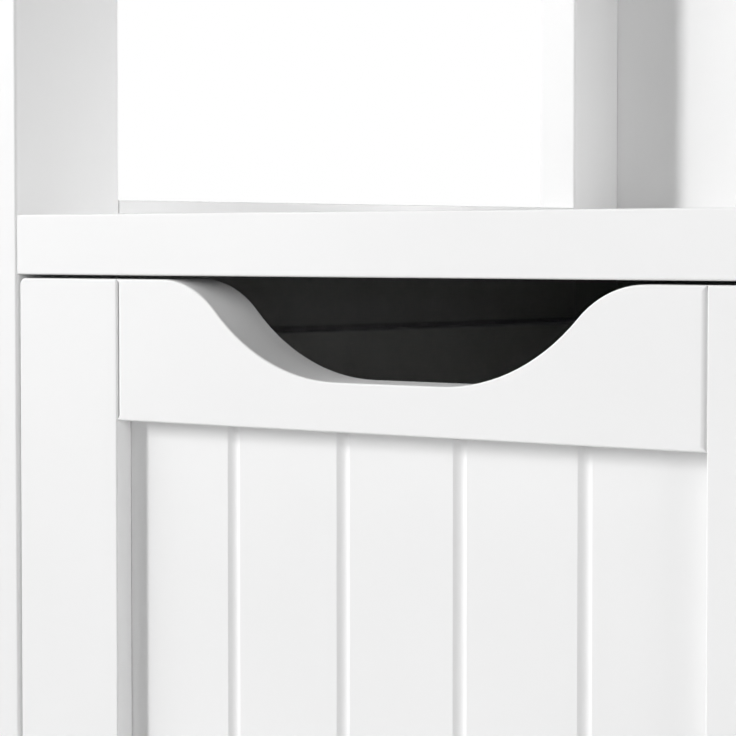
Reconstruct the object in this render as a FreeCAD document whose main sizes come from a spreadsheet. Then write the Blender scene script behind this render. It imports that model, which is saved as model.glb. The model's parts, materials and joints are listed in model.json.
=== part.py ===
"""Narrow bathroom chest: three inset drawers under an open compartment, in painted board.

Two side frames of posts and rails carry a bottom board, a shelf and a top.  Each frame is open beside the
compartment and closed by a thin panel beside the drawers.  Every drawer front is a frame of stiles and
rails round a planked panel, with a hand scoop in the top rail.

Frame: +Z up, +X to the right seen from the front, the front faces -Y.  The origin is on the floor under
the middle of the chest.  Lengths are in millimetres.
"""
import FreeCAD, Part
import math
import os
import re

import Sketcher

DRAWERS = ("lower", "middle", "upper")
PLANK_COUNT = 5

SIZES = {
    # The whole chest
    "width": 300.0,
    "depth": 300.0,
    "leg_height": 60.0,
    "compartment_height": 167.5,
    "board_thickness": 16.5,
    "edge_radius": 0.5,
    # Side frames
    "side_thickness": 16.0,
    "post_edge_radius": 1.0,
    "post_depth": 40.0,
    "side_rail_height": 38.0,
    "rail_rise": 4.5,
    "tenon_length": 8.0,
    "tenon_thickness": 6.0,
    "tenon_margin": 1.0,
    "side_panel_thickness": 6.0,
    "side_groove_depth": 7.0,
    # Back panel
    "back_thickness": 4.0,
    "back_setback": 11.0,
    "back_groove_depth": 5.0,
    # Gaps round the inset fronts
    "side_gap": 1.2,
    "top_gap": 1.0,
    "drawer_gap": 2.0,
    "bottom_gap": 2.0,
    # Drawer fronts
    "drawer_height": 172.0,
    "front_thickness": 16.5,
    "stile_width": 38.0,
    "rail_height": 38.0,
    "corner_radius": 2.0,
    "panel_recess": 5.5,
    "panel_thickness": 6.0,
    "panel_groove_depth": 8.0,
    "vee_width": 4.4,
    "vee_depth": 1.0,
    "vee_round": 3.0,
    # Hand scoop
    "scoop_margin": 17.0,
    "scoop_web": 12.6,
    "scoop_flat_share": 0.22,
    "scoop_lip_share": 0.32,
    # Drawer boxes
    "box_gap": 4.0,
    "box_side_thickness": 12.0,
    "box_side_drop": 17.0,
    "box_side_rise": 10.0,
    "box_back_thickness": 12.0,
    "box_back_inset": 10.0,
    "box_back_gap": 15.0,
    "box_bottom_thickness": 4.0,
    "box_bottom_rise": 8.0,
    "box_housing_depth": 5.0,
    # Runners
    "runner_height": 12.0,
    "runner_bite": 6.0,
    "runner_rise": 60.0,
    "runner_front_gap": 3.0,
    "runner_end_gap": 7.0,
    "runner_screw_diameter": 3.5,
    "runner_screw_head": 7.0,
    "runner_screw_head_height": 2.5,
    "runner_screw_bite": 10.0,
    # Connecting fittings
    "dowel_diameter": 8.0,
    "dowel_seat": 10.0,
    "dowel_reach": 20.0,
    "dowel_inset": 75.0,
    "cam_diameter": 15.0,
    "cam_cover": 4.0,
    "cam_reach": 24.0,
    "cam_inset": 25.0,
    "cam_slot_width": 1.6,
    "cam_slot_depth": 3.0,
    "bolt_diameter": 6.0,
    "bolt_seat": 10.0,
    "top_screw_diameter": 4.0,
    "top_screw_head": 8.0,
    "top_screw_head_height": 3.0,
    "top_screw_grip": 20.0,
    "top_screw_bite": 10.0,
    "top_screw_inset": 55.0,
    # Feet
    "glide_diameter": 12.0,
    "glide_height": 3.0,
    "glide_pin_diameter": 3.0,
    "glide_pin_length": 12.0,
    # Fits
    "clearance": 0.2,
    "running_clearance": 0.3,
    "overrun": 1.0,
}

# Places that several pieces share, as formulas of the sizes
FRONT = "(-depth / 2)"
INNER = "(width / 2 - side_thickness)"
SIDE_MIDDLE = "(width / 2 - side_thickness / 2)"
RAIL_SPAN = "(depth - 2 * post_depth)"
BACK_FACE = "(depth - back_setback - back_thickness)"
BOTTOM_TOP = "(leg_height + board_thickness)"
DRAWER_PITCH = "(drawer_height + drawer_gap)"
SHELF_UNDER = f"({BOTTOM_TOP} + bottom_gap + {len(DRAWERS)} * {DRAWER_PITCH} - drawer_gap + top_gap)"
SHELF_TOP = f"({SHELF_UNDER} + board_thickness)"
TOP_UNDER = f"({SHELF_TOP} + compartment_height)"
BOTTOM_RAIL = "leg_height"
MIDDLE_RAIL = f"({SHELF_TOP} + rail_rise - side_rail_height)"
TOP_RAIL = f"({TOP_UNDER} - side_rail_height)"
TENON_SHOULDER = "(side_groove_depth + tenon_margin)"
SIDE_RAILS = {"bottom": BOTTOM_RAIL, "middle": MIDDLE_RAIL, "top": TOP_RAIL}
FRONT_WIDTH = f"(2 * {INNER} - 2 * side_gap)"
RAIL_LENGTH = f"({FRONT_WIDTH} - 2 * stile_width)"
BOX_OUTER = f"({INNER} - box_gap)"
BOX_INNER = f"({BOX_OUTER} - box_side_thickness)"
BOX_LENGTH = f"({BACK_FACE} - front_thickness - box_back_gap)"
BOX_SIDE_HEIGHT = "(drawer_height - box_side_drop - box_side_rise)"
HOUSING = "((box_side_thickness - runner_bite) / 2)"
RUNNER_THICKNESS = "(box_gap + runner_bite)"
RUNNER_FRONT = "(front_thickness + runner_front_gap)"
RUNNER_LENGTH = f"({BACK_FACE} - runner_end_gap - {RUNNER_FRONT})"
RUNNER_SCREWS = {
    "front": f"(({RUNNER_FRONT} + post_depth) / 2)",
    "back": f"(({RUNNER_FRONT} + {RUNNER_LENGTH} + depth - post_depth) / 2)",
}
SCREW_HOLE = "(runner_screw_diameter + 2 * clearance)"
CAM_HEIGHT = "(board_thickness - cam_cover)"
DOWEL_PLACES = ("dowel_inset", f"({RAIL_SPAN} - dowel_inset)")
CAM_PLACES = ("cam_inset", f"({RAIL_SPAN} - cam_inset)")
TOP_SCREW_PLACES = ("top_screw_inset", f"({RAIL_SPAN} - top_screw_inset)")
SIDES = {"left": -1, "right": 1}

# Turns that lay a cylinder's axis along X or leave it along Z
ALONG_X = FreeCAD.Rotation(FreeCAD.Vector(0, 1, 0), 90)
ALONG_Z = FreeCAD.Rotation()

doc = FreeCAD.newDocument("bathroom_chest")
sheet = doc.addObject("Spreadsheet::Sheet", "Sizes")
for row, (alias, number) in enumerate(SIZES.items(), start=1):
    sheet.set(f"A{row}", alias)
    sheet.set(f"B{row}", str(number))
    sheet.setAlias(f"B{row}", alias)
doc.recompute()

pieces = []


def bind(thing, prop, formula):
    """Ties a property to a formula in which every word is a cell of the sheet."""
    thing.setExpression(prop, re.sub(r"[a-z_]{2,}", lambda word: "Sizes." + word.group(0), str(formula)))


def place(thing, at, turn=ALONG_Z):
    thing.Placement = FreeCAD.Placement(FreeCAD.Vector(), turn)
    for axis, formula in zip("xyz", at):
        bind(thing, f"Placement.Base.{axis}", formula)


def new_body(label, at):
    body = doc.addObject("PartDesign::Body", label)
    body.Label = label
    place(body, at)
    pieces.append(body)
    return body


def block(body, kind, name, lengths, at):
    """A box that is added to a body or taken out of it; kind is Additive or Subtractive."""
    box = body.newObject(f"PartDesign::{kind}Box", name)
    for prop, formula in zip(("Length", "Width", "Height"), lengths):
        bind(box, prop, formula)
    place(box, at)


def bore(body, name, diameter, length, at, turn=ALONG_Z):
    hole = body.newObject("PartDesign::SubtractiveCylinder", name)
    bind(hole, "Radius", f"({diameter}) / 2")
    bind(hole, "Height", length)
    place(hole, at, turn)


def ease(body, chosen, radius="edge_radius"):
    """Rounds the edges of the body's last shape that the test picks out."""
    doc.recompute()
    tip = body.Tip
    names = [f"Edge{number}" for number, edge in enumerate(tip.Shape.Edges, start=1) if chosen(edge)]
    fillet = body.newObject("PartDesign::Fillet", "EasedEdges")
    fillet.Base = (tip, names)
    bind(fillet, "Radius", radius)


def runs_along(axis):
    """A test for straight edges along one axis."""
    spans = {"x": "XLength", "y": "YLength", "z": "ZLength"}

    def chosen(edge):
        box = edge.BoundBox
        return all((getattr(box, span) > sheet.overrun) == (name == axis) for name, span in spans.items())

    return chosen


def ease_top(body, axis):
    """Rounds the long edges of a board that stands on its edge, at its top."""
    doc.recompute()
    top = body.Tip.Shape.BoundBox.ZMax
    along = runs_along(axis)
    ease(body, lambda edge: along(edge) and edge.BoundBox.ZMin > top - sheet.clearance)


def on_front(edge):
    """The edges of a front face, which lies in the plane y = 0 of its own body."""
    return abs(edge.BoundBox.YMin) < sheet.clearance and abs(edge.BoundBox.YMax) < sheet.clearance


def side_x(sign, from_middle, thickness):
    """Left corner of something of that thickness whose inner face is from_middle away from the middle."""
    return from_middle if sign > 0 else f"(-{from_middle} - {thickness})"


def group(label, members):
    """Identical fasteners, as one group of separate solids."""
    compound = doc.addObject("Part::Compound", label)
    compound.Label = label
    compound.Links = members
    pieces.append(compound)


def rod(name, diameter, length, at, turn=ALONG_Z):
    cylinder = doc.addObject("Part::Cylinder", name)
    bind(cylinder, "Radius", f"({diameter}) / 2")
    bind(cylinder, "Height", length)
    place(cylinder, at, turn)
    return cylinder


def fuse(name, parts):
    joined = doc.addObject("Part::MultiFuse", name)
    joined.Shapes = parts
    return joined


# Side frames


def make_post(side, end):
    """A post, leg and frame member in one, with mortises and grooves in its faces."""
    sign = SIDES[side]
    front = end == "front"
    body = new_body(
        f"{side}_{end}_post",
        (side_x(sign, INNER, "side_thickness"), FRONT if front else "depth / 2 - post_depth", "glide_height"),
    )
    block(
        body, "Additive", "Post",
        ("side_thickness", "post_depth", f"{TOP_UNDER} - glide_height"), (0, 0, 0),
    )
    ease(body, runs_along("z"), "post_edge_radius")
    slot_width = "(tenon_thickness + 2 * clearance)"
    slot_x = f"side_thickness / 2 - {slot_width} / 2"
    slot_length = "(tenon_length + clearance)"
    slot_y = f"post_depth - {slot_length}" if front else "-overrun"
    for rail, level in SIDE_RAILS.items():
        height = f"side_rail_height - 2 * {TENON_SHOULDER} + 2 * clearance"
        foot = f"{level} + {TENON_SHOULDER} - clearance - glide_height"
        block(
            body, "Subtractive", f"Mortise_{rail}", (slot_width, f"{slot_length} + overrun", height),
            (slot_x, slot_y, foot),
        )
    groove_width = "(side_panel_thickness + 2 * clearance)"
    groove_foot = f"({BOTTOM_RAIL} + side_rail_height - side_groove_depth)"
    block(
        body, "Subtractive", "PanelGroove",
        (groove_width, "side_groove_depth + overrun", f"{MIDDLE_RAIL} + side_groove_depth - {groove_foot}"),
        (
            f"side_thickness / 2 - {groove_width} / 2",
            "post_depth - side_groove_depth" if front else "-overrun",
            f"{groove_foot} - glide_height",
        ),
    )
    if not front:
        width = "(back_thickness + 2 * clearance)"
        block(
            body, "Subtractive", "BackGroove",
            ("back_groove_depth + overrun", width, f"{TOP_UNDER} - leg_height + overrun"),
            (
                "-overrun" if sign > 0 else "side_thickness - back_groove_depth",
                "post_depth - back_setback - back_thickness - clearance",
                "leg_height - glide_height",
            ),
        )
    screw_y = RUNNER_SCREWS[end] if front else f"{RUNNER_SCREWS[end]} - depth + post_depth"
    for index, name in enumerate(DRAWERS):
        length = "runner_screw_bite + clearance + overrun"
        bore(
            body, f"ScrewHole_{name}", SCREW_HOLE, length,
            (
                "-overrun" if sign > 0 else "side_thickness - runner_screw_bite - clearance",
                screw_y,
                f"{runner_level(index)} + runner_height / 2 - glide_height",
            ),
            ALONG_X,
        )
    bore(
        body, "GlideHole", "glide_pin_diameter + 2 * clearance", "glide_pin_length + clearance + overrun",
        ("side_thickness / 2", "post_depth / 2", "-overrun"),
    )


def make_side_rail(side, rail):
    """A rail with a tenon at each end; the lower two are grooved for the panel."""
    sign = SIDES[side]
    level = SIDE_RAILS[rail]
    body = new_body(
        f"{side}_{rail}_rail", (side_x(sign, INNER, "side_thickness"), f"{FRONT} + post_depth", level)
    )
    block(body, "Additive", "Rail", ("side_thickness", RAIL_SPAN, "side_rail_height"), (0, 0, 0))
    ease(body, runs_along("y"))
    tenon = ("tenon_thickness", "tenon_length", f"side_rail_height - 2 * {TENON_SHOULDER}")
    for end, start in (("Front", "-tenon_length"), ("Back", RAIL_SPAN)):
        block(
            body, "Additive", f"{end}Tenon", tenon,
            ("side_thickness / 2 - tenon_thickness / 2", start, TENON_SHOULDER),
        )
    if rail == "top":
        drill_for_top_screws(body)
        return
    groove_width = "(side_panel_thickness + 2 * clearance)"
    block(
        body, "Subtractive", "PanelGroove", (groove_width, RAIL_SPAN, "side_groove_depth + overrun"),
        (
            f"side_thickness / 2 - {groove_width} / 2",
            0,
            "side_rail_height - side_groove_depth" if rail == "bottom" else "-overrun",
        ),
    )
    board_middle = "board_thickness / 2" if rail == "bottom" else (
        "side_rail_height - rail_rise - board_thickness / 2"
    )
    for number, y in enumerate(DOWEL_PLACES):
        drill_inner_face(body, f"DowelHole{number}", sign, "dowel_diameter", "dowel_seat", y, board_middle)
    for number, y in enumerate(CAM_PLACES):
        drill_inner_face(body, f"BoltHole{number}", sign, "bolt_diameter", "bolt_seat", y, board_middle)


def drill_inner_face(body, name, sign, diameter, depth, y, z):
    start = "-overrun" if sign > 0 else f"side_thickness - {depth} - clearance"
    bore(
        body, name, f"{diameter} + 2 * clearance", f"{depth} + clearance + overrun", (start, y, z), ALONG_X
    )


def drill_for_top_screws(body):
    """Counterbored holes from below, for the screws that hold the top down."""
    sink = "(side_rail_height - top_screw_grip)"
    for number, y in enumerate(TOP_SCREW_PLACES):
        bore(
            body, f"Counterbore{number}", "top_screw_head + 2 * clearance", f"{sink} + overrun",
            ("side_thickness / 2", y, "-overrun"),
        )
        bore(
            body, f"ScrewHole{number}", "top_screw_diameter + 2 * clearance", "side_rail_height",
            ("side_thickness / 2", y, f"{sink} - overrun"),
        )


def make_side_panel(side):
    """The thin panel that closes a side frame beside the drawers."""
    sign = SIDES[side]
    lap = "(side_groove_depth - clearance)"
    foot = f"({BOTTOM_RAIL} + side_rail_height - {lap})"
    body = new_body(
        f"{side}_side_panel",
        (
            f"{sign} * {SIDE_MIDDLE} - side_panel_thickness / 2",
            f"{FRONT} + post_depth - {lap}",
            foot,
        ),
    )
    block(
        body, "Additive", "Panel",
        ("side_panel_thickness", f"{RAIL_SPAN} + 2 * {lap}", f"{MIDDLE_RAIL} + {lap} - {foot}"), (0, 0, 0),
    )


# Boards across the chest


def make_cross_board(label, level):
    """Bottom board or shelf: dowels and bolts enter its ends, and cams lock the bolts from below."""
    body = new_body(label, (f"-{INNER}", FRONT, level))
    block(body, "Additive", "Board", (f"2 * {INNER}", BACK_FACE, "board_thickness"), (0, 0, 0))
    ease(body, on_front)
    middle = "board_thickness / 2"
    for side, sign in SIDES.items():
        end = f"2 * {INNER}"
        for number, y in enumerate(DOWEL_PLACES):
            length = "(dowel_reach + clearance)"
            start = "-overrun" if sign < 0 else f"{end} - {length}"
            bore(
                body, f"DowelHole_{side}{number}", "dowel_diameter + 2 * clearance", f"{length} + overrun",
                (start, f"post_depth + {y}", middle), ALONG_X,
            )
        for number, y in enumerate(CAM_PLACES):
            start = "-overrun" if sign < 0 else f"{end} - cam_reach"
            bore(
                body, f"BoltHole_{side}{number}", "bolt_diameter + 2 * clearance", "cam_reach + overrun",
                (start, f"post_depth + {y}", middle), ALONG_X,
            )
            bore(
                body, f"CamHole_{side}{number}", "cam_diameter + 2 * clearance",
                f"{CAM_HEIGHT} + clearance + overrun",
                ("cam_reach" if sign < 0 else f"{end} - cam_reach", f"post_depth + {y}", "-overrun"),
            )


def make_top():
    body = new_body("top_board", ("-width / 2", FRONT, TOP_UNDER))
    block(body, "Additive", "Board", ("width", "depth", "board_thickness"), (0, 0, 0))
    ease(body, lambda edge: True)
    for side, sign in SIDES.items():
        for number, y in enumerate(TOP_SCREW_PLACES):
            bore(
                body, f"ScrewHole_{side}{number}", "top_screw_diameter + 2 * clearance",
                "top_screw_bite + clearance + overrun",
                (f"width / 2 + {sign} * {SIDE_MIDDLE}", f"post_depth + {y}", "-overrun"),
            )


def make_back_panel():
    """A thin sheet that slides down the grooves of the back posts before the top goes on."""
    lap = "(back_groove_depth - clearance)"
    body = new_body("back_panel", (f"-{INNER} - {lap}", f"{FRONT} + {BACK_FACE}", "leg_height"))
    block(
        body, "Additive", "Panel",
        (f"2 * {INNER} + 2 * {lap}", "back_thickness", f"{TOP_UNDER} - leg_height"),
        (0, 0, 0),
    )


# Drawers


def drawer_foot(index):
    return f"({BOTTOM_TOP} + bottom_gap + {index} * {DRAWER_PITCH})"


def runner_level(index):
    return f"({drawer_foot(index)} + box_side_rise + runner_rise)"


def make_stile(drawer, index, side):
    """An upright of the drawer front: outer corners round, grooved for the panel, housed for the side."""
    sign = SIDES[side]
    left = side_x(sign, f"({RAIL_LENGTH} / 2)", "stile_width")
    body = new_body(f"{drawer}_{side}_stile", (left, FRONT, drawer_foot(index)))
    block(body, "Additive", "Stile", ("stile_width", "front_thickness", "drawer_height"), (0, 0, 0))
    through = runs_along("y")
    outer = sheet.stile_width if sign > 0 else 0
    ease(
        body, lambda edge: through(edge) and abs(edge.BoundBox.XMin - outer) < sheet.clearance,
        "corner_radius",
    )
    ease(body, on_front)
    block(
        body, "Subtractive", "PanelGroove",
        ("panel_groove_depth + overrun", "panel_thickness + 2 * clearance", "drawer_height + 2 * overrun"),
        (
            "-overrun" if sign > 0 else "stile_width - panel_groove_depth",
            "panel_recess - clearance",
            "-overrun",
        ),
    )
    outer_lap = f"({FRONT_WIDTH} / 2 - {BOX_OUTER})"
    width = "(box_side_thickness + 2 * clearance)"
    block(
        body, "Subtractive", "Housing",
        (width, "box_housing_depth + overrun", f"{BOX_SIDE_HEIGHT} + 2 * clearance"),
        (
            f"stile_width - {outer_lap} - {width} + clearance" if sign > 0 else f"{outer_lap} - clearance",
            "front_thickness - box_housing_depth",
            "box_side_rise - clearance",
        ),
    )


def add_rail_joinery(body, groove_at):
    """Stub tenons that fill the stiles' grooves, and the groove that holds the panel's edge."""
    reach = "(panel_groove_depth - clearance)"
    for end, start in (("Left", f"-{RAIL_LENGTH} / 2 - {reach}"), ("Right", f"{RAIL_LENGTH} / 2")):
        block(
            body, "Additive", f"{end}Tenon", (reach, "panel_thickness", "rail_height"),
            (start, "panel_recess", 0),
        )
    block(
        body, "Subtractive", "PanelGroove",
        (
            f"{RAIL_LENGTH} + 2 * panel_groove_depth + 2 * overrun",
            "panel_thickness + 2 * clearance",
            "panel_groove_depth + overrun",
        ),
        (f"-{RAIL_LENGTH} / 2 - panel_groove_depth - overrun", "panel_recess - clearance", groove_at),
    )


def make_bottom_rail(drawer, index):
    body = new_body(f"{drawer}_bottom_rail", (0, FRONT, drawer_foot(index)))
    block(
        body, "Additive", "Rail", (RAIL_LENGTH, "front_thickness", "rail_height"),
        (f"-{RAIL_LENGTH} / 2", 0, 0),
    )
    ease(body, on_front)
    add_rail_joinery(body, "rail_height - panel_groove_depth")


def origin_plane(body, role):
    return next(feature for feature in body.Origin.OriginFeatures if feature.Role == role)


def new_sketch(body, name, role):
    sketch = body.newObject("Sketcher::SketchObject", name)
    sketch.AttachmentSupport = (origin_plane(body, role), [""])
    sketch.MapMode = "FlatFace"
    return sketch


def dimension(sketch, formula, *constraint):
    """Adds a measured constraint and ties it to a formula."""
    index = sketch.addConstraint(Sketcher.Constraint(*constraint))
    bind(sketch, f"Constraints[{index}]", formula)


def scoop_outline():
    """Half the scoop at the present sizes: half width, flat half, depth and the two arcs that make its S.

    Two arcs that touch each other, and the level lines above and below, span a run and a depth only if
    their radii add up to (run squared + depth squared) / (2 x depth).
    """
    front = sheet.width - 2 * sheet.side_thickness - 2 * sheet.side_gap
    half = front / 2 - sheet.stile_width - sheet.scoop_margin
    flat = half * sheet.scoop_flat_share
    drop = sheet.rail_height - sheet.scoop_web
    radii = ((half - flat) ** 2 + drop**2) / (2 * drop)
    lip = radii * sheet.scoop_lip_share
    return half, flat, drop, lip, radii - lip


def draw_scoop(body):
    """The right half of the scoop: a flat, a hollow arc, a lip arc and straight lines above the rail."""
    half, flat, drop, lip, hollow = scoop_outline()
    top = sheet.rail_height
    foot = sheet.scoop_web
    above = top + sheet.overrun
    turn = math.acos(1 - drop / (lip + hollow))
    point = FreeCAD.Vector
    upward = point(0, 0, 1)
    sketch = new_sketch(body, "ScoopOutline", "XZ_Plane")
    hollow_circle = Part.Circle(point(flat, foot + hollow, 0), upward, hollow)
    lip_circle = Part.Circle(point(half, top - lip, 0), upward, lip)
    level = math.pi / 2
    for curve in (
        Part.LineSegment(point(0, foot, 0), point(flat, foot, 0)),
        Part.ArcOfCircle(hollow_circle, -level, turn - level),
        Part.ArcOfCircle(lip_circle, level, level + turn),
        Part.LineSegment(point(half, top, 0), point(half, above, 0)),
        Part.LineSegment(point(half, above, 0), point(0, above, 0)),
        Part.LineSegment(point(0, above, 0), point(0, foot, 0)),
    ):
        sketch.addGeometry(curve)
    for constraint in (
        ("Tangent", 0, 2, 1, 1),
        ("Tangent", 1, 2, 2, 2),
        ("Coincident", 2, 1, 3, 1),
        ("Coincident", 3, 2, 4, 1),
        ("Coincident", 4, 2, 5, 1),
        ("Coincident", 5, 2, 0, 1),
        ("Horizontal", 0),
        ("Vertical", 3),
        ("Horizontal", 4),
        ("PointOnObject", 0, 1, -2),
        ("PointOnObject", 4, 2, -2),
        ("Vertical", 2, 3, 2, 1),
    ):
        sketch.addConstraint(Sketcher.Constraint(*constraint))
    half_formula = f"({RAIL_LENGTH} / 2 - scoop_margin)"
    drop_formula = "(rail_height - scoop_web)"
    run_formula = f"({half_formula} * (1 - scoop_flat_share))"
    squares = f"({run_formula} * {run_formula} + {drop_formula} * {drop_formula})"
    radii_formula = f"({squares} / (2 * {drop_formula}))"
    dimension(sketch, f"{half_formula} * scoop_flat_share", "DistanceX", 0, 1, 0, 2, flat)
    dimension(sketch, half_formula, "DistanceX", -1, 1, 2, 1, half)
    dimension(sketch, "scoop_web", "DistanceY", -1, 1, 0, 1, foot)
    dimension(sketch, "rail_height", "DistanceY", -1, 1, 2, 1, top)
    dimension(sketch, "overrun", "DistanceY", 3, 1, 3, 2, sheet.overrun)
    dimension(sketch, f"{radii_formula} * scoop_lip_share", "Radius", 2, lip)
    return sketch


def make_top_rail(drawer, index):
    """The rail with the hand scoop: half of it is cut and mirrored, then all its show edges are eased."""
    body = new_body(
        f"{drawer}_top_rail", (0, FRONT, f"{drawer_foot(index)} + drawer_height - rail_height")
    )
    block(
        body, "Additive", "Rail", (RAIL_LENGTH, "front_thickness", "rail_height"),
        (f"-{RAIL_LENGTH} / 2", 0, 0),
    )
    doc.recompute()
    uncut = body.Shape.Volume
    half_scoop = body.newObject("PartDesign::Pocket", "HalfScoop")
    half_scoop.Profile = draw_scoop(body)
    half_scoop.Type = "ThroughAll"
    doc.recompute()
    scoop = body.newObject("PartDesign::Mirrored", "Scoop")
    scoop.Originals = [half_scoop]
    scoop.MirrorPlane = (origin_plane(body, "YZ_Plane"), [""])
    body.Tip = scoop
    doc.recompute()
    half, flat, drop, lip, hollow = scoop_outline()
    if uncut - body.Shape.Volume < 2 * flat * drop * sheet.front_thickness:
        raise RuntimeError("the scoop has not been cut")

    def shows(edge):
        """Edges of the front face, and those of the scoop at the back."""
        box = edge.BoundBox
        at_back = abs(box.YMin - sheet.front_thickness) < sheet.clearance and box.YLength < sheet.clearance
        in_scoop = box.ZMin > sheet.clearance and max(abs(box.XMin), abs(box.XMax)) < half + sheet.clearance
        return on_front(edge) or (at_back and in_scoop)

    ease(body, shows)
    add_rail_joinery(body, "-overrun")


def make_planked_panel(drawer, index):
    """One sheet with a vee cut between each two planks, held in the grooves of the stiles and rails."""
    lap = "(panel_groove_depth - clearance)"
    body = new_body(
        f"{drawer}_planked_panel",
        (0, f"{FRONT} + panel_recess", f"{drawer_foot(index)} + rail_height - {lap}"),
    )
    height = f"(drawer_height - 2 * rail_height + 2 * {lap})"
    width = f"({RAIL_LENGTH} + 2 * {lap})"
    block(body, "Additive", "Sheet", (width, "panel_thickness", height), (f"-{width} / 2", 0, 0))
    doc.recompute()
    uncut = body.Shape.Volume
    pitch = f"({RAIL_LENGTH} / {PLANK_COUNT})"
    joints = PLANK_COUNT - 1
    first = f"(-{pitch} * {joints - 1} / 2)"
    pitch_now = (sheet.width - 2 * (sheet.side_thickness + sheet.side_gap + sheet.stile_width)) / PLANK_COUNT
    middle = -pitch_now * (joints - 1) / 2
    half = sheet.vee_width / 2
    sketch = new_sketch(body, "VeeOutline", "XY_Plane")
    corners = [
        FreeCAD.Vector(middle - half, 0, 0),
        FreeCAD.Vector(middle + half, 0, 0),
        FreeCAD.Vector(middle, sheet.vee_depth, 0),
    ]
    for number, corner in enumerate(corners):
        sketch.addGeometry(Part.LineSegment(corner, corners[(number + 1) % len(corners)]))
    for number in range(len(corners)):
        following = (number + 1) % len(corners)
        sketch.addConstraint(Sketcher.Constraint("Coincident", number, 2, following, 1))
    sketch.addConstraint(Sketcher.Constraint("PointOnObject", 0, 1, -1))
    sketch.addConstraint(Sketcher.Constraint("Horizontal", 0))
    dimension(sketch, "vee_width", "DistanceX", 0, 1, 0, 2, sheet.vee_width)
    dimension(sketch, "vee_width / 2", "DistanceX", 0, 1, 1, 2, half)
    dimension(sketch, "vee_depth", "DistanceY", 0, 1, 1, 2, sheet.vee_depth)
    dimension(sketch, f"-{first}", "DistanceX", 1, 2, -1, 1, -middle)
    vee = body.newObject("PartDesign::Pocket", "FirstVee")
    vee.Profile = sketch
    vee.Type = "ThroughAll"
    vee.Reversed = True
    doc.recompute()
    vees = body.newObject("PartDesign::LinearPattern", "Vees")
    vees.Originals = [vee]
    vees.Direction = (origin_plane(body, "X_Axis"), [""])
    bind(vees, "Length", f"{pitch} * {joints - 1}")
    vees.Occurrences = joints
    body.Tip = vees
    doc.recompute()
    vee_volume = half * sheet.vee_depth * body.Shape.BoundBox.ZLength
    if uncut - body.Shape.Volume < (joints - 1) * vee_volume:
        raise RuntimeError("the vees have not all been cut")
    upright = runs_along("z")
    ease(
        body, lambda edge: upright(edge) and abs(edge.BoundBox.YMin - sheet.vee_depth) < sheet.clearance,
        "vee_round",
    )


def make_box_side(drawer, index, side):
    """A side of the drawer box: grooved outside for its runner, and inside for the bottom and the back."""
    sign = SIDES[side]
    body = new_body(
        f"{drawer}_{side}_side",
        (
            side_x(sign, BOX_INNER, "box_side_thickness"),
            f"{FRONT} + front_thickness - box_housing_depth",
            f"{drawer_foot(index)} + box_side_rise",
        ),
    )
    length = f"({BOX_LENGTH} + box_housing_depth)"
    block(body, "Additive", "Side", ("box_side_thickness", length, BOX_SIDE_HEIGHT), (0, 0, 0))
    ease_top(body, "y")
    depth = "(runner_bite + running_clearance)"
    stop = f"({RUNNER_FRONT} - running_clearance - front_thickness + box_housing_depth)"
    block(
        body, "Subtractive", "RunnerGroove",
        (f"{depth} + overrun", f"{length} - {stop} + overrun", "runner_height + 2 * running_clearance"),
        (
            f"box_side_thickness - {depth}" if sign > 0 else "-overrun",
            stop,
            "runner_rise - running_clearance",
        ),
    )
    inner_start = "-overrun" if sign > 0 else f"box_side_thickness - {HOUSING}"
    block(
        body, "Subtractive", "BottomGroove",
        (f"{HOUSING} + overrun", f"{BOX_LENGTH} + overrun", "box_bottom_thickness + 2 * clearance"),
        (inner_start, "box_housing_depth", "box_bottom_rise - clearance"),
    )
    block(
        body, "Subtractive", "BackHousing",
        (
            f"{HOUSING} + overrun",
            "box_back_thickness + 2 * clearance",
            f"{BOX_SIDE_HEIGHT} - box_bottom_rise",
        ),
        (
            inner_start,
            f"{length} - box_back_inset - box_back_thickness - clearance",
            "box_bottom_rise + overrun",
        ),
    )


def make_box_back(drawer, index):
    """The back stands on the bottom sheet, with its ends housed in the two sides."""
    lap = f"({HOUSING} - clearance)"
    sheet_top = "(box_bottom_rise + box_bottom_thickness)"
    body = new_body(
        f"{drawer}_drawer_back",
        (
            f"-{BOX_INNER} - {lap}",
            f"{FRONT} + front_thickness + {BOX_LENGTH} - box_back_inset - box_back_thickness",
            f"{drawer_foot(index)} + box_side_rise + {sheet_top}",
        ),
    )
    block(
        body, "Additive", "Back",
        (f"2 * {BOX_INNER} + 2 * {lap}", "box_back_thickness", f"{BOX_SIDE_HEIGHT} - {sheet_top}"), (0, 0, 0),
    )
    ease_top(body, "x")


def make_box_bottom(drawer, index):
    lap = f"({HOUSING} - clearance)"
    body = new_body(
        f"{drawer}_drawer_bottom",
        (
            f"-{BOX_INNER} - {lap}",
            f"{FRONT} + front_thickness",
            f"{drawer_foot(index)} + box_side_rise + box_bottom_rise",
        ),
    )
    lengths = (f"2 * {BOX_INNER} + 2 * {lap}", BOX_LENGTH, "box_bottom_thickness")
    block(body, "Additive", "Sheet", lengths, (0, 0, 0))


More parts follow.
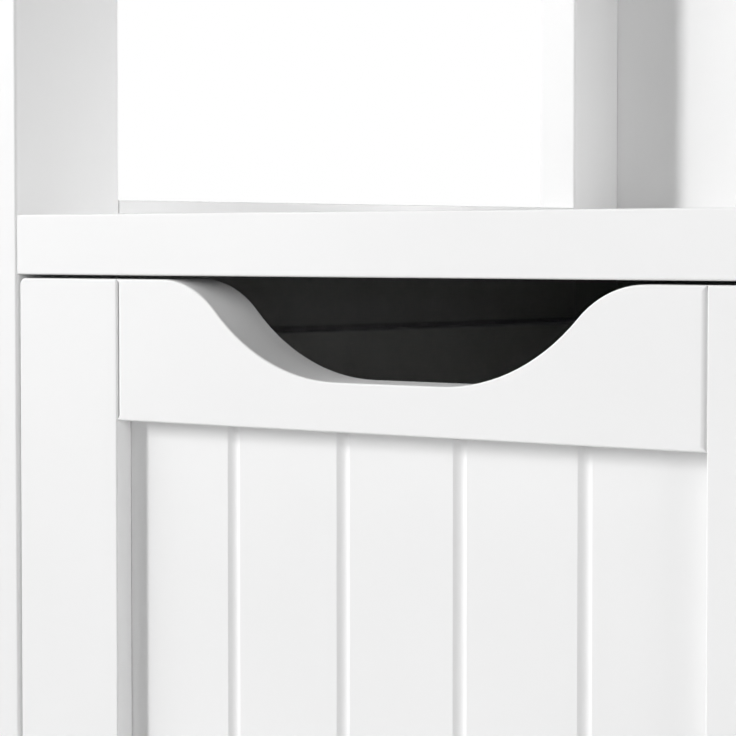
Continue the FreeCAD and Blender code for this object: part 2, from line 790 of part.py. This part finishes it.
def make_runner(drawer, index, side):
    """A strip on the posts that the grooved drawer side slides along, with countersunk screw holes."""
    sign = SIDES[side]
    inner = f"({INNER} - {RUNNER_THICKNESS})"
    body = new_body(
        f"{drawer}_{side}_runner",
        (side_x(sign, inner, RUNNER_THICKNESS), f"{FRONT} + {RUNNER_FRONT}", runner_level(index)),
    )
    block(body, "Additive", "Strip", (RUNNER_THICKNESS, RUNNER_LENGTH, "runner_height"), (0, 0, 0))
    for end, y in RUNNER_SCREWS.items():
        at_y = f"{y} - {RUNNER_FRONT}"
        middle = "runner_height / 2"
        bore(
            body, f"ScrewHole_{end}", SCREW_HOLE, f"{RUNNER_THICKNESS} + 2 * overrun",
            ("-overrun", at_y, middle), ALONG_X,
        )
        bore(
            body, f"HeadHole_{end}", "runner_screw_head + 2 * clearance",
            "runner_screw_head_height + clearance + overrun",
            (
                "-overrun" if sign > 0 else f"{RUNNER_THICKNESS} - runner_screw_head_height - clearance",
                at_y,
                middle,
            ),
            ALONG_X,
        )


# Fasteners and feet


def make_runner_screws():
    screws = []
    for index, drawer in enumerate(DRAWERS):
        for side, sign in SIDES.items():
            for end, y in RUNNER_SCREWS.items():
                name = f"{drawer}_{side}_{end}"
                at_y = f"{FRONT} + {y}"
                at_z = f"{runner_level(index)} + runner_height / 2"
                tip = f"({INNER} + runner_screw_bite)"
                head_face = f"({INNER} - {RUNNER_THICKNESS})"
                shank_x = head_face if sign > 0 else f"-{tip}"
                head_x = head_face if sign > 0 else f"-{head_face} - runner_screw_head_height"
                shank = rod(
                    f"Shank_{name}", "runner_screw_diameter", f"{tip} - {head_face}",
                    (shank_x, at_y, at_z), ALONG_X,
                )
                head = rod(
                    f"Head_{name}", "runner_screw_head", "runner_screw_head_height",
                    (head_x, at_y, at_z), ALONG_X,
                )
                screws.append(fuse(f"RunnerScrew_{name}", [shank, head]))
    group("runner_screws", screws)


def make_top_screws():
    screws = []
    for side, sign in SIDES.items():
        for number, y in enumerate(TOP_SCREW_PLACES):
            name = f"{side}{number}"
            at_x = f"{sign} * {SIDE_MIDDLE}"
            at_y = f"{FRONT} + post_depth + {y}"
            seat = f"({TOP_UNDER} - top_screw_grip)"
            shank = rod(
                f"TopShank_{name}", "top_screw_diameter", "top_screw_grip + top_screw_bite",
                (at_x, at_y, seat),
            )
            head = rod(
                f"TopHead_{name}", "top_screw_head", "top_screw_head_height",
                (at_x, at_y, f"{seat} - top_screw_head_height"),
            )
            screws.append(fuse(f"TopScrew_{name}", [shank, head]))
    group("top_screws", screws)


def make_board_fittings():
    """Dowels, bolts and cams that hold the bottom board and the shelf between the side frames."""
    dowels, bolts, cams = [], [], []
    for board, level in (("Bottom", "leg_height"), ("Shelf", SHELF_UNDER)):
        middle = f"{level} + board_thickness / 2"
        for side, sign in SIDES.items():
            for number, y in enumerate(DOWEL_PLACES):
                start = f"({INNER} - dowel_reach)" if sign > 0 else f"(-{INNER} - dowel_seat)"
                dowels.append(
                    rod(
                        f"{board}Dowel_{side}{number}", "dowel_diameter", "dowel_reach + dowel_seat",
                        (start, f"{FRONT} + post_depth + {y}", middle), ALONG_X,
                    )
                )
            for number, y in enumerate(CAM_PLACES):
                name = f"{board}_{side}{number}"
                at_y = f"{FRONT} + post_depth + {y}"
                reach = "(cam_reach - bolt_diameter / 2)"
                start = f"({INNER} - {reach})" if sign > 0 else f"(-{INNER} - bolt_seat)"
                bolts.append(
                    rod(
                        f"Bolt{name}", "bolt_diameter", f"{reach} + bolt_seat", (start, at_y, middle),
                        ALONG_X,
                    )
                )
                cams.append(make_cam(name, sign, (f"{sign} * ({INNER} - cam_reach)", at_y, level)))
    group("wooden_dowels", dowels)
    group("cam_bolts", bolts)
    group("cam_locks", cams)


def make_cam(name, sign, at):
    """A locking cam: a disc with a cross slot below and a bore in its rim that takes the bolt's end."""
    x, y, z = at
    disc = rod(f"CamDisc{name}", "cam_diameter", CAM_HEIGHT, at)
    half_bore = "(bolt_diameter / 2 + clearance)"
    rim_bore = rod(
        f"CamBore{name}", f"2 * {half_bore}", f"cam_diameter / 2 + {half_bore} + overrun",
        (
            f"{x} - {half_bore}" if sign > 0 else f"{x} - cam_diameter / 2 - overrun",
            y,
            f"{z} + board_thickness / 2",
        ),
        ALONG_X,
    )
    slots = []
    slot_length = "(cam_diameter / 2)"
    for axis, spans in (("X", (slot_length, "cam_slot_width")), ("Y", ("cam_slot_width", slot_length))):
        slot = doc.addObject("Part::Box", f"CamSlot{axis}{name}")
        for prop, formula in zip(("Length", "Width", "Height"), (*spans, "cam_slot_depth + overrun")):
            bind(slot, prop, formula)
        place(slot, (f"{x} - {spans[0]} / 2", f"{y} - {spans[1]} / 2", f"{z} - overrun"))
        slots.append(slot)
    cam = doc.addObject("Part::Cut", f"Cam{name}")
    cam.Base = disc
    cam.Tool = fuse(f"CamCuts{name}", [rim_bore, *slots])
    return cam


def make_glides():
    """Plastic glides under the four posts, each with a pin in the end of the post."""
    glides = []
    for side, sign in SIDES.items():
        for end, turn in (("front", -1), ("back", 1)):
            at = (f"{sign} * {SIDE_MIDDLE}", f"{turn} * (depth / 2 - post_depth / 2)", 0)
            pad = rod(f"GlidePad_{side}_{end}", "glide_diameter", "glide_height", at)
            pin = rod(f"GlidePin_{side}_{end}", "glide_pin_diameter", "glide_height + glide_pin_length", at)
            glides.append(fuse(f"Glide_{side}_{end}", [pad, pin]))
    group("foot_glides", glides)


for side_name in SIDES:
    for end_name in ("front", "back"):
        make_post(side_name, end_name)
    for rail_name in SIDE_RAILS:
        make_side_rail(side_name, rail_name)
    make_side_panel(side_name)
make_cross_board("bottom_board", "leg_height")
make_cross_board("shelf_board", SHELF_UNDER)
make_top()
make_back_panel()
for drawer_index, drawer_name in enumerate(DRAWERS):
    make_top_rail(drawer_name, drawer_index)
    make_bottom_rail(drawer_name, drawer_index)
    make_planked_panel(drawer_name, drawer_index)
    for side_name in SIDES:
        make_stile(drawer_name, drawer_index, side_name)
        make_box_side(drawer_name, drawer_index, side_name)
        make_runner(drawer_name, drawer_index, side_name)
    make_box_back(drawer_name, drawer_index)
    make_box_bottom(drawer_name, drawer_index)
make_board_fittings()
make_runner_screws()
make_top_screws()
make_glides()
doc.recompute()

for thing in doc.Objects:
    if "Invalid" in thing.State or "Error" in thing.State:
        raise RuntimeError(f"{thing.Label} failed: {thing.State}")
for piece in pieces:
    if piece.Shape.isNull() or not piece.Shape.isValid():
        raise RuntimeError(f"{piece.Label} has no valid shape")

os.makedirs("parts", exist_ok=True)
for piece in pieces:
    piece.Shape.exportStep(f"parts/{piece.Label}.step")
print(f"wrote {len(pieces)} pieces")
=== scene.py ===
# %% [markdown]
# # A white bathroom chest, close up
# The chest is painted board: posts and rails at the sides, a shelf across, and below it a drawer front made
# as a frame round a planked panel.  The shapes come from the CAD frame, because all of them are cut from
# board and are exact there, and only the ends of six rails are made rounder here.  This lesson is about the
# finishes, the light and the camera that make white boards read as boards.

# %% Load the frame
import json
import math

import bpy
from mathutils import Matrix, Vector

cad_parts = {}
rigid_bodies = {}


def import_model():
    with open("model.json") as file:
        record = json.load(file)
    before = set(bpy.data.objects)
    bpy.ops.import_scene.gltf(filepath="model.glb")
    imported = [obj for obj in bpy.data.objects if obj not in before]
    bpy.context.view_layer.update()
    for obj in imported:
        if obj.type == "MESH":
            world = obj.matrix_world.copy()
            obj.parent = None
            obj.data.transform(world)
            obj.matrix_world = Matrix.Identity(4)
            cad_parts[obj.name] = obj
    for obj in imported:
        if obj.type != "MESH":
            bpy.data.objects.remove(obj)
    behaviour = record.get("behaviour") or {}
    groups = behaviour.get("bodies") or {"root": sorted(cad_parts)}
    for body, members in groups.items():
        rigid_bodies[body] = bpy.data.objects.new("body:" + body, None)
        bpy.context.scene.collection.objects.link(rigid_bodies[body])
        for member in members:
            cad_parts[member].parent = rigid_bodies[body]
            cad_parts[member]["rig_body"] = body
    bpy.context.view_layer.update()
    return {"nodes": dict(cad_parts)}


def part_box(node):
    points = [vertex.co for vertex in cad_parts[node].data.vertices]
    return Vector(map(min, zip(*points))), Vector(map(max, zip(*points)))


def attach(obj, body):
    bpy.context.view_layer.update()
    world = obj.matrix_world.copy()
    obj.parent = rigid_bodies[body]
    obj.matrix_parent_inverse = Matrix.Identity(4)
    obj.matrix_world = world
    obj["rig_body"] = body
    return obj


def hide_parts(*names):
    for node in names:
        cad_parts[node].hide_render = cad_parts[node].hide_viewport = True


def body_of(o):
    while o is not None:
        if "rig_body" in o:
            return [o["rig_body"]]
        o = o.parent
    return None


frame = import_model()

MM = 0.001
nodes = frame["nodes"]

# %% [markdown]
# ## Camera
# The photograph is a close view from the front right, at about the height of the shelf.  Its upright edges
# stay nearly parallel, so the lens is long, and the camera looks down by less than three degrees.  The place
# and the turn were found by laying the edges of the chest over those of the photograph.  Lens and sensor are
# in millimetres, turn and dip in degrees.

# %% Camera
LENS = 141.4
SENSOR = 36.0
CAMERA_PLACE = Vector((460.7, -696.5, 607.4)) * MM
CAMERA_TURN = 40.493
CAMERA_DIP = 2.421
LEVEL = 90.0
NEAREST_SEEN = 10 * MM

camera_data = bpy.data.cameras.new("camera")
camera_data.sensor_width = SENSOR
camera_data.lens = LENS
camera_data.clip_start = NEAREST_SEEN
camera = bpy.data.objects.new("camera", camera_data)
bpy.context.scene.collection.objects.link(camera)
camera.location = CAMERA_PLACE
camera.rotation_euler = (math.radians(LEVEL - CAMERA_DIP), 0, math.radians(CAMERA_TURN))
bpy.context.scene.camera = camera
print(f"camera {LENS:.0f} mm, {CAMERA_PLACE.z:.2f} m above the floor")

# %% [markdown]
# ## Colours
# Colours are written as the hex values that a paint chart gives.  Blender works in linear light, so one
# function turns them.  An sRGB channel is a straight line near black and a power curve above it.

# %% A colour from a chart
TOP_LEVEL = 255
LINE_END = 0.04045
LINE_SLOPE = 12.92
CURVE_OFFSET = 0.055
CURVE_POWER = 2.4
OPAQUE = 1.0


def linear(hex_colour):
    """Turns an sRGB hex colour into linear RGBA."""
    channels = []
    for level in bytes.fromhex(hex_colour.lstrip("#")):
        share = level / TOP_LEVEL
        if share <= LINE_END:
            channels.append(share / LINE_SLOPE)
        else:
            channels.append(((share + CURVE_OFFSET) / (1 + CURVE_OFFSET)) ** CURVE_POWER)
    return (*channels, OPAQUE)


print(f"a grey of #808080 is {linear('#808080')[0]:.3f} in linear light")

# %% [markdown]
# ## Nodes and grain
# One function adds a shader node with its settings, and fills its sockets with values or with the outputs of
# earlier nodes.  Every finish here is some kind of fine unevenness, so a second one makes noise whose blobs
# have a real size in millimetres along X, Y and Z.  It reads Object coordinates, so the pattern stays on its
# board when a drawer moves.

# %% Nodes and grain
NOISE_SCALE = 1.0
NOISE_DETAIL = 2.0


def add(tree, kind, sockets, settings=None):
    """Adds a node: settings go to its properties, sockets take values or the outputs of other nodes."""
    node = tree.nodes.new(kind)
    for name, value in (settings or {}).items():
        setattr(node, name, value)
    for key, value in sockets.items():
        if isinstance(value, bpy.types.NodeSocket):
            tree.links.new(value, node.inputs[key])
        else:
            node.inputs[key].default_value = value
    return node


def grain(tree, blob, shares):
    """Gives noise with blobs of a size in mm, spread from 0 to 1 between two shares of its range."""
    place = add(tree, "ShaderNodeTexCoord", {})
    sized = add(tree, "ShaderNodeMapping", {
        "Vector": place.outputs["Object"], "Scale": [1 / (length * MM) for length in blob],
    })
    noise = add(tree, "ShaderNodeTexNoise", {
        "Vector": sized.outputs["Vector"], "Scale": NOISE_SCALE, "Detail": NOISE_DETAIL,
    })
    low, high = shares
    spread = add(tree, "ShaderNodeMapRange", {
        "Value": noise.outputs["Fac"], "From Min": low, "From Max": high,
    })
    return spread.outputs["Result"]


# %% [markdown]
# ## A surface from its look
# What the eye gets from each of these finishes is a pair of close colours, a gloss that varies a little, and
# a relief finer than a tenth of a millimetre.  One pattern mixes the colours and another sets gloss and
# relief, so a finish can be slow in tone and fine in gloss, as paint is.  A painter's chart is the model: one
# row per finish, with blobs and relief in millimetres, and the function below mixes the row.

# %% The function that mixes a finish
# A Mix node has sockets of one name for numbers and for colours, so they are picked by their place.
MIX_SHARE = 0
MIX_FIRST = 6
MIX_SECOND = 7
MIXED_COLOUR = 2


def mix_finish(name, look):
    """Makes a material from a row of the chart: two colours, two patterns, gloss, relief and optics."""
    material = bpy.data.materials.new(name)
    material.use_nodes = True
    tree = material.node_tree
    tree.nodes.clear()
    tone = grain(tree, look["tone_blob"], look["tone_shares"])
    colour = add(tree, "ShaderNodeMix", {
        MIX_SHARE: tone, MIX_FIRST: linear(look["colour"]), MIX_SECOND: linear(look["second_colour"]),
    }, {"data_type": "RGBA"})
    fine = grain(tree, look["fine_blob"], look["fine_shares"])
    smooth, dull = look["roughness"]
    gloss = add(tree, "ShaderNodeMapRange", {"Value": fine, "To Min": smooth, "To Max": dull})
    relief = add(tree, "ShaderNodeBump", {"Height": fine, "Distance": look["relief"] * MM})
    surface = add(tree, "ShaderNodeBsdfPrincipled", {
        "Base Color": colour.outputs[MIXED_COLOUR], "Roughness": gloss.outputs["Result"],
        "Normal": relief.outputs["Normal"], **look["optics"],
    })
    add(tree, "ShaderNodeOutputMaterial", {"Surface": surface.outputs["BSDF"]})
    return material


# %% [markdown]
# ## White satin paint
# Posts, rails, boards and drawer fronts are sprayed with white satin paint.  Sprayed paint dries with a fine
# orange peel a little over a millimetre across, its gloss follows the peel, and over a hand's width its tone
# drifts by about one percent.  An even white would also pass at a glance, but it makes large faces look like
# plastic.  The thin panels are rolled and not sprayed, so they get the same paint with a finer peel and less
# gloss.

# %% Painted boards and panels
SPRAYED_PAINT = {
    "colour": "#F0F0F0", "second_colour": "#EDEDED", "tone_blob": (90, 90, 90), "tone_shares": (0.3, 0.7),
    "fine_blob": (1.4, 1.4, 1.4), "fine_shares": (0.3, 0.7), "roughness": (0.42, 0.52), "relief": 0.004,
    "optics": {"IOR": 1.5},
}
ROLLED_PAINT = {
    **SPRAYED_PAINT, "fine_blob": (0.9, 0.9, 0.9), "roughness": (0.45, 0.57), "relief": 0.003,
}
board_paint = mix_finish("satin_paint_on_board", SPRAYED_PAINT)
panel_paint = mix_finish("satin_paint_on_panel", ROLLED_PAINT)
print(f"paint {SPRAYED_PAINT['colour']} with a peel of {SPRAYED_PAINT['fine_blob'][0]} mm")

# %% [markdown]
# ## Paint on the drawer boxes
# The sides and the back of a drawer box are seen only when a drawer is open.  They get the same white from a
# foam roller, which pulls the wet paint into low pimples less than a millimetre apart and leaves it duller
# and a little greyer than the sprayed fronts.  Only a few entries differ from the sprayed row, so this row is
# a copy with those entries changed.

# %% Rolled drawer boxes
FOAM_ROLLED_PAINT = {
    **SPRAYED_PAINT, "colour": "#EBEBE9", "second_colour": "#E6E6E4", "fine_blob": (0.7, 0.7, 0.7),
    "fine_shares": (0.38, 0.66), "roughness": (0.48, 0.62), "relief": 0.012,
}
box_paint = mix_finish("satin_paint_on_drawer_box", FOAM_ROLLED_PAINT)
print(f"{box_paint.name} with pimples {FOAM_ROLLED_PAINT['fine_blob'][0]} mm apart")

# %% [markdown]
# ## Plastic runners and glides
# The drawer runners are moulded from white polypropylene, which comes out of a spark-eroded mould with an
# even, sandy grain.  The glides under the posts are polyethylene, softer, waxier and a little yellower.  Both
# could be one white plastic, but side by side with paint the difference in gloss is what tells them apart.

# %% Moulded plastics
POLYPROPYLENE = {
    "colour": "#E9EAEB", "second_colour": "#E5E6E8", "tone_blob": (25, 25, 25), "tone_shares": (0.35, 0.65),
    "fine_blob": (0.35, 0.35, 0.35), "fine_shares": (0.3, 0.7), "roughness": (0.38, 0.55), "relief": 0.012,
    "optics": {"IOR": 1.49},
}
POLYETHYLENE = {
    **POLYPROPYLENE, "colour": "#E2E1DC", "second_colour": "#DCDBD5", "fine_blob": (0.6, 0.6, 0.6),
    "roughness": (0.5, 0.62), "optics": {"IOR": 1.51},
}
runner_plastic = mix_finish("moulded_polypropylene", POLYPROPYLENE)
glide_plastic = mix_finish("moulded_polyethylene", POLYETHYLENE)
print(f"{runner_plastic.name} and {glide_plastic.name}")

# %% [markdown]
# ## Beech dowels
# The dowels are turned beech, pale and pinkish brown, with darker flecks along the grain.  They lie along X,
# so both patterns are stretched along X: one some two millimetres wide for the growth rings, and a finer one
# for the pores.

# %% Beech
TURNED_BEECH = {
    "colour": "#D9B78C", "second_colour": "#BE9365", "tone_blob": (60, 2.2, 2.2), "tone_shares": (0.35, 0.7),
    "fine_blob": (5, 0.3, 0.3), "fine_shares": (0.35, 0.65), "roughness": (0.52, 0.7), "relief": 0.03,
    "optics": {"IOR": 1.5},
}
beech = mix_finish("turned_beech", TURNED_BEECH)
print(beech.name)

# %% [markdown]
# ## Zinc cams and plated steel
# The cams are cast in zinc, which cools to a dull grey with a soft grain.  Bolts and screws are steel with a
# thin bright coat of zinc, drawn and rolled, so their gloss is higher and their marks are finer.  A metal
# shows its colour only in its reflections: metallic is 1 and the index of refraction stays as Blender sets
# it.

# %% Metals
CAST_ZINC = {
    "colour": "#B4B6B9", "second_colour": "#A3A5A9", "tone_blob": (4, 4, 4), "tone_shares": (0.35, 0.65),
    "fine_blob": (0.5, 0.5, 0.5), "fine_shares": (0.3, 0.7), "roughness": (0.42, 0.58), "relief": 0.02,
    "optics": {"Metallic": 1.0},
}
PLATED_STEEL = {
    **CAST_ZINC, "colour": "#C9CCD0", "second_colour": "#BFC3C9", "fine_blob": (0.25, 0.25, 0.25),
    "roughness": (0.24, 0.36), "relief": 0.006,
}
zinc = mix_finish("cast_zinc", CAST_ZINC)
steel = mix_finish("zinc_plated_steel", PLATED_STEEL)
print(f"{zinc.name} and {steel.name}")

# %% [markdown]
# ## Dressing the pieces
# The CAD nodes are named for what they are, so the end of a name tells the finish.  All that isn't named here
# is a sprayed board.

# %% A finish for every node
FINISHES = {
    "_drawer_back": box_paint,
    "_left_side": box_paint,
    "_right_side": box_paint,
    "_panel": panel_paint,
    "_drawer_bottom": panel_paint,
    "_runner": runner_plastic,
    "foot_glides": glide_plastic,
    "wooden_dowels": beech,
    "cam_locks": zinc,
    "cam_bolts": steel,
    "_screws": steel,
}
dressed = {}
for name, node in nodes.items():
    finish = next((FINISHES[ending] for ending in FINISHES if name.endswith(ending)), board_paint)
    node.data.materials.clear()
    node.data.materials.append(finish)
    dressed[finish.name] = dressed.get(finish.name, 0) + 1
print(dressed)

# %% [markdown]
# ## Eased rail ends
# Where a rail of a drawer front meets a stile, the photograph shows a grey line about a millimetre wide.  A
# joiner sands the ends of the rail a little round before gluing, so that the paint doesn't crack across the
# joint, and the line is the groove that this leaves.  The CAD solids have one small radius all round, so a
# copy of each rail, with rounder ends, stands for its solid here.  A bevel would have to fight with the
# rounding that is there already.  Scaling the rounded strip about the sharp edge that it took off keeps it
# round and tangent on both sides.

# %% How far a point of a rail moves
CAD_RADIUS = 0.5 * MM
EASED_RADIUS = 1.8 * MM
SAME_POINT = 0.001 * MM


def eased(point, end, front):
    """Gives the new place of a point near an upright edge: the strip grows, and flat faces make room."""
    side = math.copysign(1, end)
    across = (end - point.x) * side
    depth = point.y - front
    strip = CAD_RADIUS + SAME_POINT
    if -SAME_POINT < across < strip and depth < strip:
        growth = EASED_RADIUS / CAD_RADIUS
        across *= growth
        depth *= growth
    elif depth < SAME_POINT and 0 < across < EASED_RADIUS:
        across = EASED_RADIUS
    elif abs(across) < SAME_POINT and depth < EASED_RADIUS:
        depth = EASED_RADIUS
    return Vector((end - across * side, front + depth, point.z))


print(f"ends rounded to {EASED_RADIUS / MM:.1f} mm")

# %% [markdown]
# ## A copy to work on
# A CAD mesh is loose triangles with normals of its own, so the copy's points are merged and those normals
# dropped before it is changed.  Then it is cut level near its top and its bottom: the points between the two
# cuts may move, and those beyond them stay, which keeps the corners as they are.

# %% A copy of a rail, cut near its corners
UPWARD = (0, 0, 1)


def merge_points():
    """Merges the points of the open mesh that lie on one another."""
    bpy.ops.mesh.select_all(action="SELECT")
    bpy.ops.mesh.remove_doubles(threshold=SAME_POINT)


def cut_copy(name, levels):
    """Copies a rail as one merged mesh that is cut at each of the levels."""
    rail = bpy.data.objects.new(f"{name}_eased", nodes[name].data.copy())
    bpy.context.scene.collection.objects.link(rail)
    bpy.ops.object.select_all(action="DESELECT")
    rail.select_set(True)
    bpy.context.view_layer.objects.active = rail
    bpy.ops.object.mode_set(mode="EDIT")
    merge_points()
    bpy.ops.mesh.customdata_custom_splitnormals_clear()
    for level in levels:
        bpy.ops.mesh.select_all(action="SELECT")
        bpy.ops.mesh.bisect(plane_co=(0, 0, level), plane_no=UPWARD)
    bpy.ops.object.mode_set(mode="OBJECT")
    return rail


# %% [markdown]
# ## Six rails with rounder ends
# Points that were pushed together on the flat faces are merged again, and the slivers between them go.
# Shading is smooth except over sharp edges, and weighted normals keep the large faces flat beside the round
# strips.  Each copy rides on the body of its rail and stands for it.

# %% Rounder ends
CORNER_HEIGHT = 1.2 * MM
LARGEST_SMOOTH_ANGLE = math.radians(35)


def ease_ends(name, joint_place):
    """Makes a copy of a rail that is rounder along both joints, and lets it stand for the rail."""
    solid = nodes[name]
    low_corner, high_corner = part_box(name)
    lowest = low_corner.z + CORNER_HEIGHT
    highest = high_corner.z - CORNER_HEIGHT
    rail = cut_copy(name, (lowest, highest))
    for vertex in rail.data.vertices:
        if lowest - SAME_POINT < vertex.co.z < highest + SAME_POINT:
            for end in (-joint_place, joint_place):
                vertex.co = eased(vertex.co, end, low_corner.y)
    bpy.ops.object.mode_set(mode="EDIT")
    merge_points()
    bpy.ops.mesh.dissolve_degenerate(threshold=SAME_POINT)
    bpy.ops.object.mode_set(mode="OBJECT")
    bpy.ops.object.shade_smooth_by_angle(angle=LARGEST_SMOOTH_ANGLE)
    shading = rail.modifiers.new("flat_faces_stay_flat", "WEIGHTED_NORMAL")
    shading.keep_sharp = True
    bpy.ops.object.modifier_apply(modifier=shading.name)
    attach(rail, body_of(solid)[0])
    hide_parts(name)
    return rail


rails = []
for drawer in ("lower", "middle", "upper"):
    joint_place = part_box(f"{drawer}_right_stile")[0].x
    for which in ("top", "bottom"):
        rails.append(ease_ends(f"{drawer}_{which}_rail", joint_place))
print(f"{len(rails)} rails eased along their joints")

# %% [markdown]
# ## What is looked at
# Floor and background are to look paler than the light that they throw on the chest.  More lamps would make
# them pale, but the chest too bright.  Light Path tells which ray asks: one from the camera, one that metal
# mirrors or glass lets through, or light on its way to the object.

# %% Rays that look
# The two inputs of a Math node have one name, so they are picked by their place.
FIRST_VALUE = 0
SECOND_VALUE = 1


def looked_at(tree):
    """Gives 1 to rays from the camera or sent on by metal or glass, and 0 to light on the object."""
    path = add(tree, "ShaderNodeLightPath", {})
    larger = {"operation": "MAXIMUM"}
    mirrored = add(tree, "ShaderNodeMath", {
        FIRST_VALUE: path.outputs["Is Glossy Ray"], SECOND_VALUE: path.outputs["Is Transmission Ray"],
    }, larger)
    seen = add(tree, "ShaderNodeMath", {
        FIRST_VALUE: path.outputs["Is Camera Ray"], SECOND_VALUE: mirrored.outputs["Value"],
    }, larger)
    return seen.outputs["Value"]


# %% [markdown]
# ## Floor
# The floor is a pale plane that keeps the chest's shadow.  Lamps leave its far end dark, so part of its
# paleness is its own where it is looked at.  The light that it throws on the chest stays that of a plain
# painted floor.

# %% Floor
FLOOR_SIZE = 8.0
FLOOR_COLOUR = "#D6D6D6"
FLOOR_GLOW_SHARE = 0.65

# The two shaders that a Mix Shader node takes have one name as well.
SHADER_SHARE = 0
FIRST_SHADER = 1
SECOND_SHADER = 2

bpy.ops.object.select_all(action="DESELECT")
bpy.ops.mesh.primitive_plane_add(size=FLOOR_SIZE)
floor = bpy.context.object
floor.name = "floor"
floor_finish = bpy.data.materials.new("pale_floor")
floor_finish.use_nodes = True
floor_tree = floor_finish.node_tree
floor_tree.nodes.clear()
glow_share = add(floor_tree, "ShaderNodeMapRange", {
    "Value": looked_at(floor_tree), "To Max": FLOOR_GLOW_SHARE,
})
coat = add(floor_tree, "ShaderNodeBsdfDiffuse", {"Color": linear(FLOOR_COLOUR)})
glow = add(floor_tree, "ShaderNodeEmission", {"Color": linear(FLOOR_COLOUR)})
floor_surface = add(floor_tree, "ShaderNodeMixShader", {
    SHADER_SHARE: glow_share.outputs["Result"],
    FIRST_SHADER: coat.outputs["BSDF"],
    SECOND_SHADER: glow.outputs["Emission"],
})
add(floor_tree, "ShaderNodeOutputMaterial", {"Surface": floor_surface.outputs["Shader"]})
floor.data.materials.append(floor_finish)
print(f"floor {FLOOR_COLOUR}, {FLOOR_SIZE:.0f} m wide")

# %% [markdown]
# ## White ground
# The photograph has a plain white ground.  The world is white where it is looked at, as the floor is pale,
# and gives the object no more than a weak fill.  A white wall would do as well, but it would throw light on
# the back of the chest and end somewhere in other views.

# %% World
GROUND_COLOUR = "#FFFFFF"
GROUND_STRENGTH = 1.0
FILL_STRENGTH = 0.01

world = bpy.data.worlds.new("white_ground")
world.use_nodes = True
bpy.context.scene.world = world
sky = world.node_tree
sky.nodes.clear()
strength = add(sky, "ShaderNodeMapRange", {
    "Value": looked_at(sky), "To Min": FILL_STRENGTH, "To Max": GROUND_STRENGTH,
})
ground = add(sky, "ShaderNodeBackground", {
    "Color": linear(GROUND_COLOUR), "Strength": strength.outputs["Result"],
})
add(sky, "ShaderNodeOutputWorld", {"Surface": ground.outputs["Background"]})
print(f"ground {GROUND_COLOUR}, fill {FILL_STRENGTH}")

# %% [markdown]
# ## Soft boxes
# The shadows in the photograph fall to the right, under the shelf and beside the left stile, and their edges
# are narrow, so the main light is a tall box far off at the front left, with a broader and weaker one beside
# it.  Faces that look to the right are only a little darker than the front, which takes two boxes at the
# right.  A weak box high at the front opens the shadows, and a very weak one beside the lens shows the dark
# of the scoop.  One behind the chest lights its back and its top, and reaches what the photograph shows only
# by way of the floor.  Each box is placed by its angles as seen from the drawer front, as a photographer
# thinks of it, and together they light white paint to just under white.  Angles are in degrees, lengths in
# metres and power in watts.

# %% Lamps
DRAWER_FACE = Vector((0, -150, 550)) * MM
SOFT_BOXES = {
    "main_soft_box": {
        "azimuth": -50, "elevation": 20, "distance": 8, "width": 0.8, "height": 3.2, "power": 378,
    },
    "left_soft_box": {
        "azimuth": -62, "elevation": 18, "distance": 6, "width": 3.2, "height": 3.2, "power": 158,
    },
    "high_soft_box": {
        "azimuth": 15, "elevation": 50, "distance": 3, "width": 2.0, "height": 2.0, "power": 12,
    },
    "lens_soft_box": {
        "azimuth": 40, "elevation": 4, "distance": 3, "width": 0.6, "height": 0.6, "power": 3,
    },
    "right_soft_box": {
        "azimuth": 74, "elevation": 8, "distance": 3, "width": 0.6, "height": 0.6, "power": 18.5,
    },
    "side_soft_box": {
        "azimuth": 100, "elevation": 15, "distance": 3, "width": 1.0, "height": 1.0, "power": 35,
    },
    "back_soft_box": {
        "azimuth": 170, "elevation": 40, "distance": 3, "width": 2.0, "height": 2.0, "power": 70,
    },
}
for name, box in SOFT_BOXES.items():
    lamp_data = bpy.data.lights.new(name, "AREA")
    lamp_data.shape = "RECTANGLE"
    lamp_data.size = box["width"]
    lamp_data.size_y = box["height"]
    lamp_data.energy = box["power"]
    lamp = bpy.data.objects.new(name, lamp_data)
    bpy.context.scene.collection.objects.link(lamp)
    turn = math.radians(box["azimuth"])
    rise = math.radians(box["elevation"])
    outward = Vector((math.sin(turn) * math.cos(rise), -math.cos(turn) * math.cos(rise), math.sin(rise)))
    lamp.location = DRAWER_FACE + outward * box["distance"]
    lamp.rotation_euler = (-outward).to_track_quat("-Z", "Y").to_euler()
bpy.context.scene.view_settings.view_transform = "Standard"
print(f"{len(SOFT_BOXES)} soft boxes, {sum(box['power'] for box in SOFT_BOXES.values()):.0f} W")
